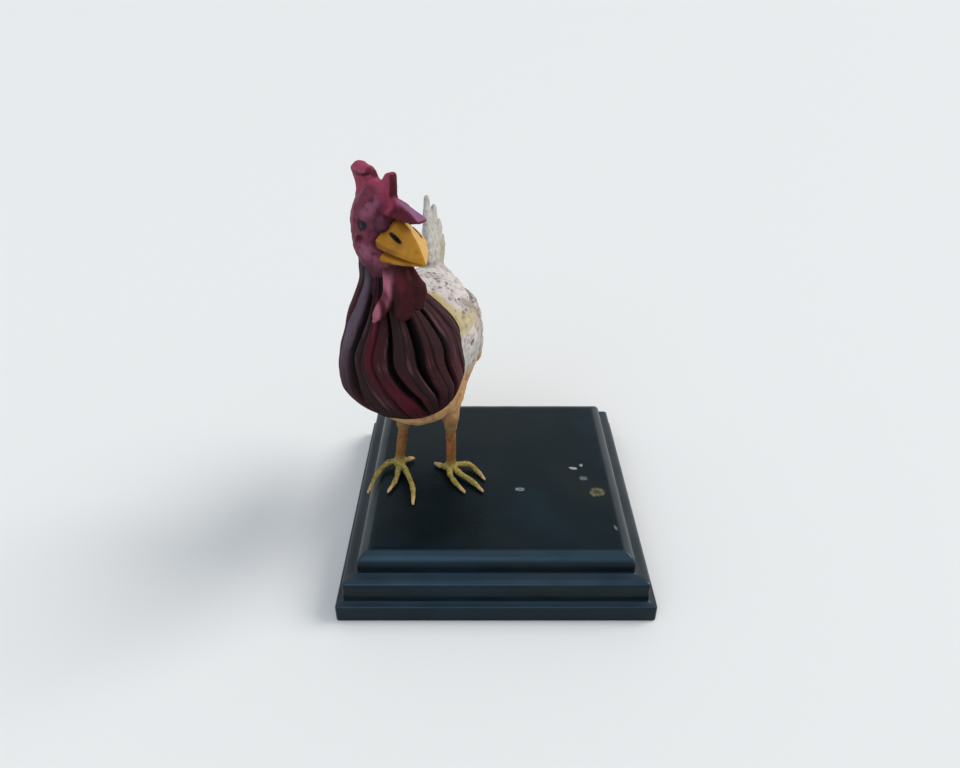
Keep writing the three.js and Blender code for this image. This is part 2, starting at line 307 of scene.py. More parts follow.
def noise(p, size, seed):
    # smooth lumps of about that size, from -1 to 1
    q = np.asarray(p, float) / np.asarray(size, float)
    cell = np.floor(q).astype(np.int64)
    t = q - cell
    t = t * t * (3 - 2 * t)
    total = 0
    for corner in np.ndindex(2, 2, 2):
        weight = np.prod(np.where(np.array(corner), t, 1 - t), axis=-1)
        total = total + weight * hashed(cell + np.array(corner), seed)
    return total * 2 - 1


def cells(p, size, seed):
    # the distances to the two nearest of scattered points, and a number that names the nearest
    q = np.asarray(p, float) / np.asarray(size, float)
    cell = np.floor(q).astype(np.int64)
    first = np.full(q.shape[:-1], 9.0)
    second = first.copy()
    name = first.copy()
    for step in np.ndindex(3, 3, 3):
        other = cell + np.array(step) - 1
        centre = other + np.stack([hashed(other, seed + k) for k in range(3)], -1)
        gap = np.linalg.norm(q - centre, axis=-1)
        nearer = gap < first
        second = np.where(nearer, first, np.minimum(second, gap))
        name = np.where(nearer, hashed(other, seed + 7), name)
        first = np.where(nearer, gap, first)
    return first, second, name


def ramp(x, low, high):
    # nought below low, one above high, smooth between
    t = np.clip((x - low) / (high - low), 0, 1)
    return t * t * (3 - 2 * t)


def spread(x, y, z):
    return np.stack(np.broadcast_arrays(x, y, z), -1)


def colour(red, green, blue):
    # a paint as it shows in print, 0 to 255, made linear
    c = np.array([red, green, blue]) / 255
    return np.where(c < 0.04045, c / 12.92, ((c + 0.055) / 1.055) ** 2.4)


def over(paint, other, share):
    return paint + (other - paint) * share[..., None]


def painted(ground, points, coats):
    # a ground colour, and over it coats of (colour, how much of it covers each point)
    paint = np.broadcast_to(colour(*ground), points.shape).copy()
    for shade, share in coats:
        paint = over(paint, colour(*shade), share)
    return paint


def in_world(p):
    a = radians(HEN_HEADING_DEG)
    x, y, z = (p * HUNDREDTH).T
    return np.stack([x * cos(a) - y * sin(a), x * sin(a) + y * cos(a), z], 1) + np.array(HEN_AT)


def make_piece(name, points, faces, paint, gloss, material, node):
    mesh = bpy.data.meshes.new(name)
    mesh.from_pydata(points.tolist(), [], [list(map(int, f)) for f in faces])
    mesh.polygons.foreach_set("use_smooth", [True] * len(mesh.polygons))
    shade = mesh.attributes.new("paint", "FLOAT_COLOR", "POINT")
    shade.data.foreach_set("color", np.column_stack([paint, np.ones(len(points))]).ravel())
    mesh.attributes.new("gloss", "FLOAT", "POINT").data.foreach_set("value", gloss)
    mesh.materials.append(material)
    mesh.update()
    piece = bpy.data.objects.new(name, mesh)
    bpy.context.scene.collection.objects.link(piece)
    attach(piece, "root")
    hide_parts(node)
    return piece


# The pear of hackle feathers: height, radius and the axis's place.
HACKLE_ROWS = np.array([
    (27.2, 0, 0.4, -6.4), (28.4, 5.4, 0.1, -6.8), (31, 10, -0.8, -7.4), (34.8, 14, -1.8, -8.1),
    (41, 17, -2.9, -8.3), (48, 16.4, -2.9, -8.5), (54, 15, -2.3, -9), (60, 12.1, -3.2, -10),
    (66, 8.2, -4.6, -11.3), (71, 5.7, -5.2, -12.2), (77, 5, -5.2, -12.5), (81, 0, -5.2, -12.5),
])
HACKLE_LEVELS = 200
# Each groove between two locks: its bearing at the pear's shoulder, its depth and half its width.
GROOVES = np.array([
    (-158, 0.4, 0.5), (-134, 3.0, 1.7), (-120, 0.5, 0.5), (-106, 0.8, 0.7), (-87, 2.7, 1.2),
    (-73, 0.3, 0.5), (-57, 3.2, 1.6), (-43, 0.35, 0.5), (-29, 1.7, 0.8), (-4, 0.45, 0.5), (20, 0.6, 0.6),
    (45, 1.0, 0.8), (70, 0.6, 0.6), (97, 1.0, 0.8), (122, 0.6, 0.6), (148, 1.0, 0.8), (174, 0.6, 0.6),
])
COLUMNS_PER_LOCK = 24
SHOULDER = 0.53
LOCK_STRAY = 0.09
# By bearing: how far the locks curl below the shoulder and lean above it, and where grooves fade out.
CURL = (
    (-164, -134, -111, -86, -56, -31, 0, 60, 120, 196),
    (0.4, 0.65, 0.9, 1.0, 0.55, 0.5, 0.4, 0.3, 0.3, 0.4),
)
LEAN = ((-164, -134, -70, 160, 196), (60, 85, 0, 0, 60))
LEAN_ALL = 46
FADE = ((-134, -100, -70, -40), (0.1, 0.1, 0.2, 0.2))

HACKLE_BROWN = (52, 19, 23)
HACKLE_RED = (72, 16, 27)
HACKLE_UMBER = (40, 22, 23)
HACKLE_DRY_HIGHLIGHT = (118, 70, 82)
HACKLE_MAUVE_SHEEN = (88, 76, 88)
HACKLE_GROOVE_SHADE = (7, 3, 4)
HACKLE_HEM_SHADE = (54, 24, 18)
HACKLE_FOOT_SHADE = (28, 14, 14)
HACKLE_COLLAR_SHADE = (44, 34, 38)
HACKLE_CHIN_SHADOW = (12, 8, 10)
HACKLE_RIDGE_HIGHLIGHT = (128, 92, 98)


def pear():
    # the pear's levels: share of the way up, height, radius, axis, slope and the way its side faces
    levels = spline(HACKLE_ROWS, HACKLE_LEVELS + 2)
    slope = np.gradient(levels, axis=0)[1:-1]
    z, r, x, y = (levels[1:-1, k, None] for k in range(4))
    steep = np.hypot(slope[:, 0], slope[:, 1])[:, None]
    return SimpleNamespace(
        share=np.linspace(0, 1, HACKLE_LEVELS + 2)[1:-1, None], z=z, r=r, x=x, y=y,
        steep=steep, out=slope[:, 0, None] / steep, up=-slope[:, 1, None] / steep,
    )


def lock_columns(share):
    # each column's lock, its place t across that lock, its bearing, and its nearer groove
    edge, depth, reach = GROOVES.T
    width = np.diff(np.append(edge, edge[0] + 360))
    t = 0.5 - 0.5 * np.cos(np.linspace(0, pi, COLUMNS_PER_LOCK, endpoint=False))
    lock = np.repeat(np.arange(len(edge)), COLUMNS_PER_LOCK)
    t = np.tile(t, len(edge))
    stray = LOCK_STRAY * width * noise(spread(np.arange(len(edge)) * 5.1, share * 3.4, 2.0), 1.0, 16)
    stray = (1 - t) * stray[:, lock] + t * np.roll(stray, -1, 1)[:, lock]
    depth, reach = (np.where(t < 0.5, v[lock], np.roll(v, -1)[lock]) for v in (depth, reach))
    return SimpleNamespace(
        lock=lock, t=t, width=width[lock], depth=depth, reach=reach,
        bearing=edge[lock] + width[lock] * t + stray,
    )


def lock_turns(bearing, share):
    # where a column stands round the axis at each level, in radians
    away = share - SHOULDER
    above = (away + np.sqrt(away**2 + 0.0016)) / 2
    below = above - away
    lean = LEAN_ALL + np.interp(bearing, *LEAN)
    curl = np.minimum(28 * (below / 0.16) ** 1.3, 28 + 95 * (below - 0.16))
    return np.radians(bearing + lean * above + np.interp(bearing, *CURL) * curl)


def lock_relief(c, share, across, small):
    # the grooves, the strands of hair on the locks, their swelling, and how far in all that sinks
    wander = 1 + 0.5 * noise(spread(c.lock * 3.3 + (c.t > 0.5), share * 9, 5.0), 1.0, 14)
    arc = np.minimum(c.t, 1 - c.t) * across
    groove = np.clip(1 - arc / (c.reach * (0.35 + 0.65 * small) * wander), 0, 1)
    swell = noise(spread(c.lock * 9.7, share * 7, 0.0), 1.0, 11)
    hair = noise(spread(c.bearing / 2.6, share * 8, 0.0), 1.0, 12)
    hair = hair + 0.7 * noise(spread(c.bearing / 1.1, share * 14, 3.0), 1.0, 13)
    bold = np.clip(GROOVES[:, 1] / 1.6, 0.12, 1)
    bold = bold[c.lock] * (1 - c.t) + np.roll(bold, -1)[c.lock] * c.t
    tilt = 0.5 + 0.5 * noise(spread(c.lock * 7.3, share * 4, 9.0), 1.0, 15)
    tilt = 0.9 * bold * tilt * (2 * np.clip(c.t * 1.12, 0, 1) - 1) * np.clip((1 - c.t) * 12, 0, 1)
    crown = 1 - bold * np.abs(2 * c.t - 1) ** 6
    sunk = c.depth * groove - crown * (0.25 + 0.3 * swell) + tilt + 0.18 * hair
    return groove, hair, swell, sunk


def hackle_paint(points, bearing, share, shaded_groove, hair, ridge_highlight):
    streak = spread(bearing / 9, share * 3.2, 1.0)
    # grey-mauve on the outer left locks, partly the paint and partly a painted sheen
    outer_sheen = ramp(-bearing, 138, 144) * (1 - ramp(-bearing, 168, 190)) * ramp(share, 0.3, 0.6)
    # painted shadow under the chin, on the front of the hackle
    chin_shadow = ramp(share, 0.7, 0.84) * ramp(bearing, -130, -105) * (1 - ramp(bearing, -50, -10))
    return painted(HACKLE_BROWN, points, (
        (HACKLE_RED, ramp(noise(streak, 1.0, 21), 0.0, 0.7)),
        (HACKLE_UMBER, ramp(noise(streak + 7, 1.0, 22), 0.0, 0.6)),
        # lighter hair strands, partly the paint and partly painted highlights
        (HACKLE_DRY_HIGHLIGHT, ramp(hair, 0.55, 1.2) * 0.4),
        (HACKLE_MAUVE_SHEEN, outer_sheen * 0.8),
        # near-black painted shade down in the grooves between the locks
        (HACKLE_GROOVE_SHADE, ramp(shaded_groove, 0.25, 0.9) * 0.96),
        # painted shade: the hackle darker towards its foot
        (HACKLE_HEM_SHADE, (1 - ramp(share, 0.1, 0.22)) * 0.5),
        (HACKLE_FOOT_SHADE, (1 - ramp(share, 0.24, 0.42)) * 0.5),
        # painted shade at the top of the hackle, under the head
        (HACKLE_COLLAR_SHADE, ramp(share, 0.8, 0.92) * 0.9),
        (HACKLE_CHIN_SHADOW, chin_shadow * 0.85),
        # painted highlights on the ridge edges
        (HACKLE_RIDGE_HIGHLIGHT, ridge_highlight * 0.5),
    ))


def hackle():
    p = pear()
    c = lock_columns(p.share)
    turn = lock_turns(c.bearing, p.share)
    slant = np.gradient(turn, axis=0) * p.r / p.steep
    across = c.width * pi / 180 * p.r / np.sqrt(1 + slant**2)
    fade = np.interp(c.bearing, *FADE)
    small = np.clip(across / 4.2, 0, 1) * ramp(p.share, fade, fade + 0.3)
    groove, hair, swell, sunk = lock_relief(c, p.share, across, small)
    sunk = sunk * small * np.clip(p.r / 6, 0, 1)
    ring_r = p.r - p.out * sunk
    points = spread(p.x + ring_r * np.cos(turn), p.y + ring_r * np.sin(turn), p.z - p.up * sunk)

    rows, columns = points.shape[:2]
    faces = [tuple(q) for q in grid_quads(rows, columns)]
    flat = np.vstack([points.reshape(-1, 3), points[0].mean(0), points[-1].mean(0)])
    last = (rows - 1) * columns
    for j in range(columns):
        k = (j + 1) % columns
        faces.append((k, j, len(flat) - 2))
        faces.append((last + j, last + k, len(flat) - 1))

    # painted highlights along the ridge edges beside the deep grooves
    ridge_highlight = ramp(groove, 0.0, 0.12) * (1 - ramp(groove, 0.12, 0.3)) * ramp(c.depth * small, 0.6, 1.6)
    ridge_highlight = ridge_highlight * ramp(hair + swell, 0.1, 1.0)
    shade = hackle_paint(points, c.bearing, p.share, groove * c.depth * small, hair, ridge_highlight)
    paint = np.vstack([shade.reshape(-1, 3), shade[0, :1], shade[-1, :1]])
    gloss = np.clip(0.6 - 0.5 * groove + 0.25 * hair, 0, 1)
    gloss = np.append(np.broadcast_to(gloss, points.shape[:2]).ravel(), [0.4, 0.4])
    return flat, faces, paint, gloss


def from_hackle(p):
    # how far a place is from the pear's plain outline
    rows = spline(HACKLE_ROWS, 90)
    x = np.interp(p[..., 2], rows[:, 0], rows[:, 2])
    y = np.interp(p[..., 2], rows[:, 0], rows[:, 3])
    r = np.hypot(p[..., 0] - x, p[..., 1] - y)
    best = np.full(r.shape, FAR)
    for row in rows:
        best = np.minimum(best, np.hypot(r - row[1], p[..., 2] - row[0]))
    return best


# Body, wings and tail.
BODY = ((-2.3, 10.5, 40), (16.7, 26, 21))
SADDLE = ((-2.6, 23, 46), (8.6, 13, 10), 32)
BELLY = ((-1.6, 3, 28), (12.6, 14, 9))
# Wings, by distance back and height: the shoulder, the first feather's root and tip, and the steps
# from one feather to the next; and how far a feather's root, middle and tip stand off the flank.
WING_SHOULDER = (9, 44, -1.9)
WING_ROOT, WING_ROOT_STEP = (9, 50), (0.6, -3.7)
WING_TIP, WING_TIP_STEP = (33.5, 48), (-2.4, -3.4)
WING_LIFTS = (-2.4, 0.1, 0.5)
WING_FEATHERS = 5
WING_FEATHER_RADIUS = 2.9
TAIL_RUMP = ((-2.6, 26, 50), (4.6, 9.5, 7), 40)
TAIL_ROOT = (-2.6, 27, 50)
TAIL_FEATHERS = 7
TAIL_STEEPEST_DEG, TAIL_FAN_DEG = 82, 46
TAIL_LONGEST, TAIL_SHORTER_BY = 28, 8
TAIL_FEATHER_RADIUS = 3.8
THIGHS = (
    ((-4.8, 3, 29), (-6.2, 1.4, 20), (-6.6, 0.7, 16)),
    ((6.6, 4, 31), (8.0, 1.4, 21), (8.3, 0.8, 17)),
)
THIGH_RADII = (5.2, 2.7, 2.0)
PLUMAGE_BOX = ((-23, -18, 12), (20, 46, 82))
PLUMAGE_GRAIN = 0.42

PLUMAGE_WHITE = (203, 194, 188)
PLUMAGE_PINK = (178, 162, 160)
FLANK_WHITE = (174, 172, 163)
FLECK_GREY = (122, 111, 117)
FLECK_DARK = (88, 80, 85)
STERN_WHITE = (172, 170, 160)
STERN_STRAW = (156, 147, 110)
BAND_STRAW = (180, 163, 106)
BELLY_TAN = (186, 146, 98)
BELLY_BROWN = (146, 98, 62)
PLUMAGE_CREASE_SHADE = (112, 100, 92)
BELLY_CREASE_SHADE = (112, 70, 40)
THIGH_BROWN = (112, 80, 44)


def on_flank(side, y, z, lift):
    (mx, my, mz), (rx, ry, rz) = BODY
    left = 1 - ((y - my) / ry) ** 2 - ((z - mz) / rz) ** 2
    return (mx + side * (rx * max(0.0, left) ** 0.5 + lift), y, z)


def leaf(radius, n, thin=0.45):
    s = np.linspace(0, 1, n)
    return np.maximum(radius * np.minimum(1, 0.45 + 1.1 * s) * np.sqrt(1 - s**6), thin)


def wing(side):
    parts = [(egg(on_flank(side, *WING_SHOULDER), (2.2, 8, 9), 0, side * -8), 2.2, False)]
    root_lift, middle_lift, tip_lift = WING_LIFTS
    for i in reversed(range(WING_FEATHERS)):
        root_y, root_z = (a + b * i for a, b in zip(WING_ROOT, WING_ROOT_STEP))
        tip_y, tip_z = (a + b * i for a, b in zip(WING_TIP, WING_TIP_STEP))
        way = [
            on_flank(side, root_y, root_z, root_lift),
            on_flank(side, (root_y + tip_y) / 2, (root_z + tip_z) / 2 - 0.8, middle_lift),
            on_flank(side, tip_y - 0.8, tip_z, tip_lift),
        ]
        parts.append((tube(way, leaf(WING_FEATHER_RADIUS, 9), 0.42, n=9), 0.35, False))
    return parts


def tail():
    parts = [(egg(*TAIL_RUMP), 2.5, False)]
    for i in range(TAIL_FEATHERS):
        share = i / (TAIL_FEATHERS - 1)
        angle = radians(TAIL_STEEPEST_DEG - TAIL_FAN_DEG * share)
        length = TAIL_LONGEST - TAIL_SHORTER_BY * share
        lean = 1.8 * share - 3 + (0.5 if i % 2 == 0 else -0.5)

        def place(reach, bend):
            return (
                TAIL_ROOT[0] + reach * lean,
                TAIL_ROOT[1] + length * reach * cos(angle + bend),
                TAIL_ROOT[2] + length * reach * sin(angle + bend),
            )

        way = [place(-0.2, 0), place(0.4, 0.05), place(0.96, -0.06)]
        parts.append((tube(way, leaf(TAIL_FEATHER_RADIUS, 11, 1.7), 0.42, (0, -1, 0.2), 11), 0.3, False))
    return parts


def plumage_form():
    parts = [(egg(*BODY), 0.1, False), (egg(*SADDLE), 4.0, False), (egg(*BELLY), 3.0, False)]
    parts += wing(-1) + wing(1)
    parts += [(tube(way, THIGH_RADII, n=10), 2.2, False) for way in THIGHS]
    parts += tail()
    return together(parts)


def below_tan_line(points):
    # one on the tan belly, nought above its ragged border
    line = 35 - 0.12 * (points[:, 1] - 5)
    height = points[:, 2] + 4 * noise(points, 5.5, 33) + 1.4 * noise(points, 1.4, 58)
    return 1 - ramp(height, line - 2.5, line + 3.5)


def fleck_coats(points, edge, name, mark, flank):
    return (
        (PLUMAGE_PINK, ramp(noise(points, 7, 40), -0.1, 0.6) * 0.6),
        (FLANK_WHITE, flank),
        (FLECK_GREY, mark * (0.45 + 0.5 * ramp(name, 0.55, 0.85)) * (1 - 0.4 * flank)),
        (FLECK_DARK, ramp(name, 0.93, 0.95) * ramp(edge, 0.06, 0.25) * 0.8),
    )


def straw_coats(points, stern, patch, mark):
    base = stern * (1 - ramp(points[:, 2] + 3 * patch, 58, 68)) * ramp(points[:, 2], 46, 52)
    near = from_hackle(points) + 0.8 * noise(points, 2.2, 37)
    band = (1 - ramp(near, 2.4, 4.4)) * ramp(points[:, 2], 46, 50)
    ragged = 1.6 * noise(points, 2, 41) + 0.8 * patch
    shelf = 1 - ramp(np.abs(points[:, 2] - 50.5) + ragged, 1.6, 3.6)
    shelf = shelf * (1 - ramp(points[:, 1] + 3 * ragged, 11, 17))
    return (
        (STERN_WHITE, stern * 0.6),
        (STERN_STRAW, base * ramp(noise(points, 2.4, 59), -0.3, 0.5) * 0.7),
        (BAND_STRAW, np.maximum(band, shelf * 0.8) * (0.9 - 0.35 * mark)),
    )


def belly_coats(points, low, stern, crease):
    # painted shade in the creases above the tan belly and in the belly's own creases
    above = ramp(crease, 0.03, 0.22) * (1 - low) * ramp(points[:, 1], 5, 14)
    return (
        (BELLY_TAN, low),
        (BELLY_BROWN, low * ramp(noise(points, (1.4, 1.4, 2.4), 38), 0.1, 0.6) * 0.6),
        (PLUMAGE_CREASE_SHADE, above * (0.6 - 0.3 * stern)),
        (BELLY_CREASE_SHADE, ramp(crease, 0.08, 0.4) * low * 0.6),
        (THIGH_BROWN, (1 - ramp(points[:, 2], 18, 26)) * 0.8),
    )


def plumage():
    points, faces, out, crease = surface(plumage_form(), *PLUMAGE_BOX, PLUMAGE_GRAIN)
    fleck, gap, name = cells(points + 0.7 * noise(points, 1.6, 31)[:, None], (1.3, 1.6, 1.3), 32)
    edge = gap - fleck
    low = below_tan_line(points)
    patch = noise(points, 4.5, 36)
    mark = ramp(name + 0.3 * patch, 0.36, 0.56) * ramp(edge, 0.0, 0.42)
    lumps = 0.22 * noise(points, 2.6, 34) + 0.1 * noise(points, 1.1, 35)
    points = points + out * (lumps - 0.22 * mark * (1 - 0.6 * low) + 0.12 * ramp(edge, 0, 0.4))[:, None]

    stern = ramp(points[:, 1] + 0.6 * (points[:, 2] - 50), 30, 36)
    coats = fleck_coats(points, edge, name, mark, 1 - ramp(points[:, 2], 40, 46))
    coats += straw_coats(points, stern, patch, mark)
    coats += belly_coats(points, low, stern, crease)
    gloss = 0.25 + 0.2 * noise(points, 3, 39)
    return points, faces, painted(PLUMAGE_WHITE, points, coats), np.clip(gloss, 0, 1)


# The head's parts are in its own frame: its middle at nought, its face towards -Y.
HEAD_CENTRE = (-5, -12.5, 84)
HEAD_YAW_DEG = 52
HEAD_BOX = ((-9.5, -21, -24), (9.5, 11, 17.5))
HEAD_GRAIN = 0.24
EYE = (5.0, -1.8, 2.3)
EYE_RADII = (1.3, 1.4, 1.3)
SKULL = ((0, 0, 0), (6.5, 7.2, 9.6))
JAW = ((-0.2, -1, -7.2), (5.4, 6.6, 4.6), -14)
THROAT = ((0, 0, -13), (5, 5, 8))
# What is on both sides of the face: place, radii, rise, turn, softness, and cut away or not.
FACE_SIDES = {
    "cheek": ((3.6, -2.2, -3), (3.2, 4.2, 4.6), 0, 0, 1.6, False),
    "brow": ((3.2, -5, 3.6), (2.4, 3.4, 2.2), 20, 10, 1.2, False),
    "ear": ((4.6, 1.8, -3.8), (1.7, 2.2, 3), 0, 0, 0.5, False),
    "lid": ((5.0, -2.2, 4.6), (1.3, 2.7, 0.9), 12, 20, 0.8, False),
    "socket": ((6.3, -1.8, 2.3), (0.9, 1.6, 1.2), 0, 0, 0.5, True),
    "hollow": ((6.5, -1.6, -1), (0.9, 1.9, 0.6), -16, 10, 0.9, True),
    "wrinkle": ((6.6, 1.2, -6.6), (1.2, 2.4, 0.45), 20, 8, 0.5, True),
}
COMB_OUTLINE = (
    (6.2, 0.5), (7.4, 6), (8, 9.6), (8.9, 11.8), (9, 13), (7.6, 13.6), (5.2, 13.8), (2.6, 14.1),
    (0.9, 13.4), (-0.1, 12), (-2, 11.4), (-3.8, 12.4), (-5.6, 14.2), (-7.2, 14.5), (-7.8, 13.4),
    (-7.4, 11), (-7.2, 9.2), (-9, 8.7), (-12.4, 8), (-16, 6.8), (-17.3, 5.9), (-16, 5.1),
    (-11.4, 4.8), (-7, 4), (-4, 0.5),
)
COMB_CURL = ((0.2, 8, 12.6), (-0.6, 5.4, 13.3), (-0.6, 2.4, 13.2))
COMB_FOLD = ((-1.9, 4.4, 11.3), (-1.5, 2, 11.9), (-1.3, 0.6, 12.6))
VISOR_BRIM = ((0, -6, 5.6), (0, -11.4, 5.8), (0, -16, 5.5))
# Each wattle: its way down, radius, flatness, broad direction and softness.
WATTLES = {
    "swept": (((-1.6, -6, -6.2), (-4.8, -8.8, -14.4), (-8.4, -7.6, -20)), 1.9, 0.5, (1, -1, 0), 0.6),
    "long": (
        ((-0.6, -6.4, -5.6), (-0.9, -10.6, -13.4), (-1.9, -10.8, -19.8)), 3.2, 0.6, (0.7, -0.7, 0), 0.9,
    ),
    "short": (
        ((0.9, -6.6, -5.8), (1.7, -11.6, -12.4), (1.0, -12.4, -17.4)), 2.8, 0.5, (0.5, -0.9, 0), 0.4,
    ),
}

SKIN_MAROON = (105, 42, 59)
SKIN_MAUVE_HIGHLIGHT = (134, 78, 99)
SKIN_PIT_SHADE = (60, 14, 28)
SKIN_UNDER_VISOR_SHADE = (50, 9, 25)
SKIN_CREASE_SHADE = (58, 8, 22)
NECK_SHADOW = (26, 18, 22)
COMB_ROSE = (150, 58, 82)
COMB_RED = (112, 24, 46)
COMB_LILAC_LIT = (128, 88, 118)
COMB_PAINTED_SHADE = (66, 6, 19)
WATTLE_RED = (52, 0, 5)
WATTLE_BRIGHT = (92, 8, 22)
WATTLE_CREASE_SHADE = (26, 1, 6)
WATTLE_PALE = (172, 98, 118)
BEAK_OCHRE = (162, 110, 24)
BEAK_BROWN = (136, 82, 10)
BEAK_PALE_HIGHLIGHT = (216, 174, 104)
BEAK_CREASE_SHADE = (110, 62, 12)
BEAK_CUT_SHADE = (16, 7, 5)
EYE_RING = (60, 20, 38)
EYE_BLUE = (14, 20, 40)


def round_outline(points, n=6):
    p = np.asarray(points, float)
    line = spline(np.vstack([p[-2:], p, p[:2]]), n * (len(p) + 3) + 1)
    return line[n * 2:n * (len(p) + 2)]


def skin():
    parts = [(egg(*SKULL), 0.1, False), (egg(*JAW), 2.0, False), (egg(*THROAT), 1.5, False)]
    for side in (-1, 1):
        for (x, y, z), radii, rise, turn, soft, cut in FACE_SIDES.values():
            parts.append((egg((side * x, y, z), radii, rise, side * turn), soft, cut))
    return parts


def eyes():
    return [(egg((side * EYE[0], EYE[1], EYE[2]), EYE_RADII), 0.1, False) for side in (-1, 1)]


def comb_half(y, z):
    # half the comb's thickness: thick at its foot, thin at the tip of the visor
    thick = 1.15 + 0.7 * np.clip((9 - z) / 5, 0, 1)
    thin = 0.5 * np.clip((z - 6.5) / 2, 0, 1) * np.clip(-7 - y, 0, 1)
    return thick + 0.25 * np.clip((-9 - y) / 6, 0, 1) - thin


def comb():
    return [
        (plate(round_outline(COMB_OUTLINE), comb_half, 0.6), 2.0, False),
        (tube(COMB_CURL, (1.2, 1.7, 1.2), n=6), 0.4, False),
        (tube(VISOR_BRIM, (2.9, 2.7, 1.1), 0.42, (1, 0, 0)), 0.4, False),
        (tube(COMB_FOLD, (0.3, 0.9, 0.6), n=6), 0.3, True),
    ]


# The upper half of the beak, by the distance forward: ridge, widest level, mouth line and half width.
BEAK_LENGTH = 18.3
BEAK_ROWS = np.array([
    (5, 4.8, -0.4, -3.3, 5.2), (9.2, 4.2, -0.5, -3.4, 5.7), (12.7, 2.9, -1.2, -3.6, 4.7),
    (15.5, 0.2, -2.5, -3.9, 3.1), (17.2, -2.2, -3.6, -4.3, 1.4), (BEAK_LENGTH, -4.1, -4.3, -4.5, 0.25),
])
ROOF_POWER = 1.12
CHEEK_POWER = 3
LOWER_BEAK = ((0, -5, -5), (0, -10, -4.9), (0, -16, -4.8))
NOSTRIL = ((4.0, -10.9, 1.4), (1.4, 2.5, 0.3), 24, -24)
GAPE = ((6, -5.6, -3.5), (4.6, -8.8, -3.7), (3.4, -12, -4.0))


def upper_beak(q):
    # two flat sides that meet in a sharp ridge, over steeper cheeks
    y = -q[..., 1]
    ridge, wide, mouth, half = (np.interp(y, BEAK_ROWS[:, 0], BEAK_ROWS[:, k]) for k in range(1, 5))
    z = q[..., 2] - wide
    side = np.abs(q[..., 0]) / half
    roof = (side**ROOF_POWER + (np.maximum(z, 0) / (ridge - wide)) ** ROOF_POWER) ** (1 / ROOF_POWER)
    cheek = (side**CHEEK_POWER + (np.maximum(-z, 0) / (wide - mouth)) ** CHEEK_POWER) ** (1 / CHEEK_POWER)
    shape = np.where(z > 0, roof, cheek)
    tall = np.minimum(np.where(z > 0, ridge - wide, wide - mouth), half)
    back = 8.2 - 0.42 * np.abs(q[..., 0]) - y
    return np.maximum((shape - 1) * tall * 0.75, np.maximum(y - BEAK_LENGTH, back) * 0.8)


upper_beak.box = (np.array([-6.5, -20, -8]), np.array([6.5, -2.5, 5.5]))


def beak():
    lower = tube(LOWER_BEAK, (4.5, 3.8, 1.1), 0.42, (1, 0, 0))
    parts = [(upper_beak, 0.12, False), (lower, 0.3, False)]
    (x, y, z), radii, rise, turn = NOSTRIL
    for side in (-1, 1):
        parts.append((egg((side * x, y, z), radii, rise, side * turn), 0.12, True))
        gape = [(side * gx, gy, gz) for gx, gy, gz in GAPE]
        parts.append((tube(gape, (1.0, 0.6, 0.15), n=8), 0.12, True))
    return parts


def wattles():
    s = np.linspace(0, 1, 9)
    drop = np.maximum((0.7 + 0.3 * s) * np.sqrt(1 - 0.88 * s**7), 0.3)
    return [
        (tube(way, radius * drop, flat, broad, 9), soft, False)
        for way, radius, flat, broad, soft in WATTLES.values()
    ]


def head_masks(points):
    # how much of each point is beak, eye, comb, wattle or soft skin
    to_skin, to_comb, to_wattle = (nearest(f(), points) for f in (skin, comb, wattles))
    to_beak, to_eye = nearest(beak(), points), nearest(eyes(), points)
    is_beak = ramp(np.minimum.reduce([to_skin, to_comb, to_wattle]) - to_beak, -0.05, 0.3)
    is_eye = 1 - ramp(to_eye, 0.06, 0.2)
    return SimpleNamespace(
        beak=is_beak, eye=is_eye, soft=(1 - is_beak) * (1 - is_eye),
        comb=ramp(to_skin - to_comb, -1.0, 2.2) * (1 - is_beak),
        wattle=ramp(np.minimum(to_skin, to_beak) - to_wattle, -0.2, 0.8),
        to_wattle=to_wattle, to_eye=to_eye,
    )


def skin_coats(points, fleck, pebble, m):
    return (
        # mauve laid partly at random and partly as painted highlights on the raised pebbles; painted shade
        # in the pits between them
        (SKIN_MAUVE_HIGHLIGHT, ramp(noise(points, 3.5, 45) + 0.5 * pebble, 0.1, 0.9) * 0.7),
        (SKIN_PIT_SHADE, ramp(fleck, 0.62, 0.9) * (1 - m.comb) * 0.55),
    )


def comb_coats(points, out, m):
    brim = ramp(-points[:, 1], 7.5, 9)
    # the visor's lilac top is partly painted light where it faces up; the comb's front faces, its
    # undersides and the brim's left side get painted shade
    lit_brim_top = brim * ramp(out[:, 2], 0.3, 0.6) * ramp(points[:, 0] - 0.12 * points[:, 1], 0.1, 0.9)
    shaded_sides = ramp(-out[:, 1], 0.35, 0.8) * (1 - brim) + ramp(-out[:, 2], 0.1, 0.5)
    shaded_sides = shaded_sides + brim * ramp(-points[:, 0], 0.6, 1.3)
    return (
        (COMB_ROSE, m.comb * 0.85),
        (COMB_RED, m.comb * ramp(noise(points, 2.8, 46), -0.1, 0.6) * 0.6),
        (COMB_LILAC_LIT, m.comb * lit_brim_top * 0.85),
        (COMB_PAINTED_SHADE, m.comb * np.clip(shaded_sides, 0, 1) * 0.9),
    )


def wattle_coats(points, crease, swept, m):
    # painted shadow on the neck under the head
    neck_shadow = ramp(-points[:, 2], 10.5, 12) * (1 - m.wattle) * ramp(np.abs(m.to_wattle), 0, 0.6)
    return (
        (NECK_SHADOW, neck_shadow),
        (WATTLE_RED, m.wattle),
        (WATTLE_BRIGHT, m.wattle * ramp(noise(points, (2.2, 2.2, 5), 50), 0.1, 0.7) * 0.5),
        # painted shade in the creases between the wattles
        (WATTLE_CREASE_SHADE, m.wattle * ramp(crease, 0.04, 0.3) * 0.8),
        (WATTLE_PALE, swept * ramp(noise(points, (1.1, 5, 6), 47), -0.9, 0.3) * 0.85),
    )


